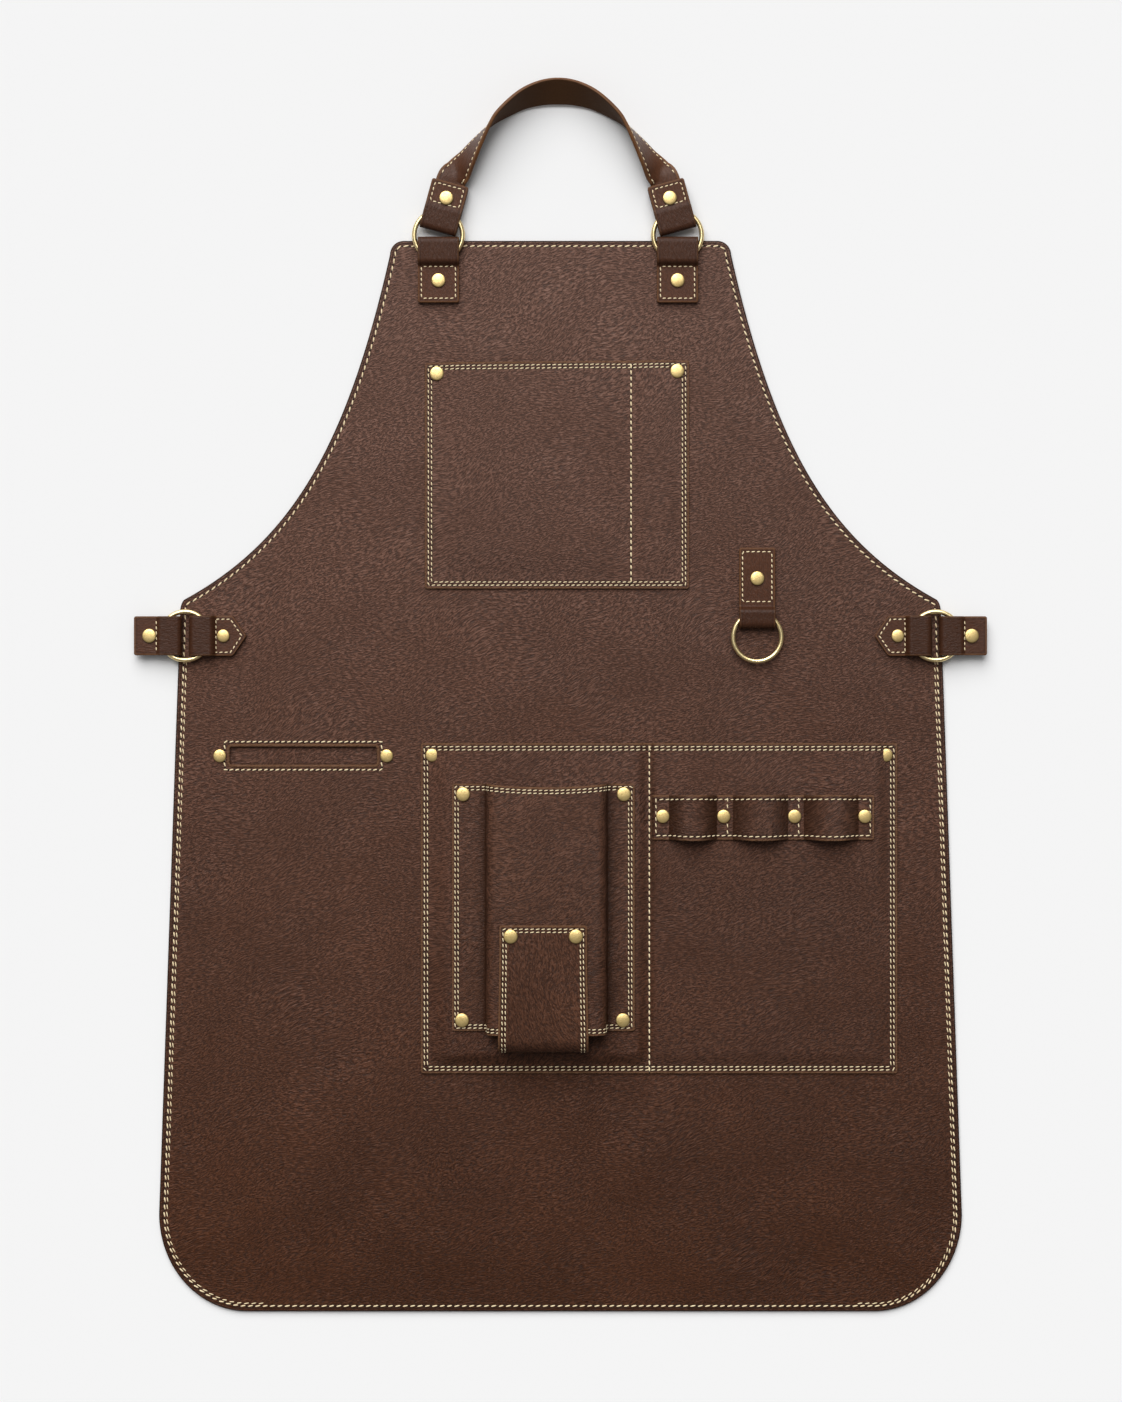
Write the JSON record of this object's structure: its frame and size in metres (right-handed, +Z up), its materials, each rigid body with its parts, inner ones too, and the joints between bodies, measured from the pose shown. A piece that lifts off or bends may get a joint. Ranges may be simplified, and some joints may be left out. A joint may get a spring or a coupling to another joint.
{
  "type": "welding apron",
  "caption": "Full-length leather work apron lying flat, with a stitched bib pocket, a two-part tool pocket, a boxed holster, tool loops, brass rings and a neck strap.",
  "frame": {"origin": "on the surface the apron lies on, under the middle of the whole apron", "axes": "+X to the right of the front face, +Y from the hem to the neck, +Z up out of the front face"},
  "size_m": [0.6804, 0.984, 0.0391],
  "materials": {
    "hide": "matt pebbled dark brown cowhide",
    "pocket_hide": "matt pebbled dark brown cowhide, burnished edges",
    "strap_leather": "smooth dark brown bridle leather with paler raw edges",
    "thread": "waxed cream thread",
    "brass": "polished",
    "rivet_brass": "satin"
  },
  "bodies": {
    "apron": {"apron_panel": "hide", "bib_pocket": "pocket_hide", "tool_pocket": "pocket_hide", "holster_body": "pocket_hide", "holster_strap": "pocket_hide", "tool_loops": "pocket_hide", "slot_backing": "pocket_hide", "tool_ring_tab": "strap_leather", "tool_ring_tab_rivet": "rivet_brass", "neck_tab_lower_left": "strap_leather", "neck_tab_lower_rivet_left": "rivet_brass", "waist_tab_left": "strap_leather", "waist_tab_rivet_left": "rivet_brass", "neck_tab_lower_right": "strap_leather", "neck_tab_lower_rivet_right": "rivet_brass", "waist_tab_right": "strap_leather", "waist_tab_rivet_right": "rivet_brass", "bib_pocket_rivet_1": "rivet_brass", "bib_pocket_rivet_2": "rivet_brass", "tool_pocket_rivet_1": "rivet_brass", "tool_pocket_rivet_2": "rivet_brass", "slot_rivet_1": "rivet_brass", "slot_rivet_2": "rivet_brass", "holster_rivet_1": "rivet_brass", "holster_rivet_2": "rivet_brass", "holster_rivet_3": "rivet_brass", "holster_rivet_4": "rivet_brass", "holster_strap_rivet_1": "rivet_brass", "holster_strap_rivet_2": "rivet_brass", "tool_loop_rivet_1": "rivet_brass", "tool_loop_rivet_2": "rivet_brass", "tool_loop_rivet_3": "rivet_brass", "tool_loop_rivet_4": "rivet_brass"},
    "neck_ring_left": {"neck_ring_left": "brass"},
    "neck_ring_right": {"neck_ring_right": "brass"},
    "neck_strap": {"neck_strap": "strap_leather", "neck_tab_upper_left": "strap_leather", "neck_tab_upper_right": "strap_leather", "neck_tab_upper_rivet_left": "rivet_brass", "neck_tab_upper_rivet_right": "rivet_brass"},
    "tool_ring": {"tool_ring": "brass"},
    "waist_ring_left": {"waist_ring_left": "brass"},
    "waist_ring_right": {"waist_ring_right": "brass"},
    "waist_strap_end_left": {"waist_strap_end_left": "strap_leather", "waist_strap_end_rivet_left": "rivet_brass"},
    "waist_strap_end_right": {"waist_strap_end_right": "strap_leather", "waist_strap_end_rivet_right": "rivet_brass"}
  },
  "joints": [
    {"name": "neck_ring_left_flex", "type": "hinge", "parent": "apron", "child": "neck_ring_left", "pos_m": [-0.0974, 0.3455, 0.0062], "axis": [1, 0, 0], "range_deg": [0, 120], "deforming": ["neck_tab_lower_left"]},
    {"name": "neck_ring_right_flex", "type": "hinge", "parent": "apron", "child": "neck_ring_right", "pos_m": [0.0934, 0.3455, 0.0062], "axis": [1, 0, 0], "range_deg": [0, 120], "deforming": ["neck_tab_lower_right"]},
    {"name": "neck_strap_swing", "type": "hinge", "parent": "neck_ring_left", "child": "neck_strap", "pos_m": [-0.0974, 0.3869, 0.0077], "axis": [1, 0, 0], "range_deg": [-90, 60], "deforming": ["neck_tab_upper_left", "neck_tab_upper_right"]},
    {"name": "tool_ring_flex", "type": "hinge", "parent": "apron", "child": "tool_ring", "pos_m": [0.157, 0.0695, 0.0062], "axis": [-1, 0, 0], "range_deg": [0, 140], "deforming": ["tool_ring_tab"]},
    {"name": "waist_ring_left_flex", "type": "hinge", "parent": "apron", "child": "waist_ring_left", "pos_m": [-0.2775, 0.048, 0.0062], "axis": [0, 1, 0], "range_deg": [0, 90], "deforming": ["waist_tab_left"]},
    {"name": "waist_ring_right_flex", "type": "hinge", "parent": "apron", "child": "waist_ring_right", "pos_m": [0.2775, 0.048, 0.0062], "axis": [0, -1, 0], "range_deg": [0, 90], "deforming": ["waist_tab_right"]},
    {"name": "waist_strap_end_left_swing", "type": "hinge", "parent": "waist_ring_left", "child": "waist_strap_end_left", "pos_m": [-0.3187, 0.048, 0.0077], "axis": [0, 1, 0], "range_deg": [-75, 75], "deforming": ["waist_strap_end_left"]},
    {"name": "waist_strap_end_right_swing", "type": "hinge", "parent": "waist_ring_right", "child": "waist_strap_end_right", "pos_m": [0.3187, 0.048, 0.0077], "axis": [0, -1, 0], "range_deg": [-75, 75], "deforming": ["waist_strap_end_right"]}
  ],
  "couplings": [
    {"joint": "neck_ring_right_flex", "follows": "neck_ring_left_flex", "ratio": 1}
  ]
}
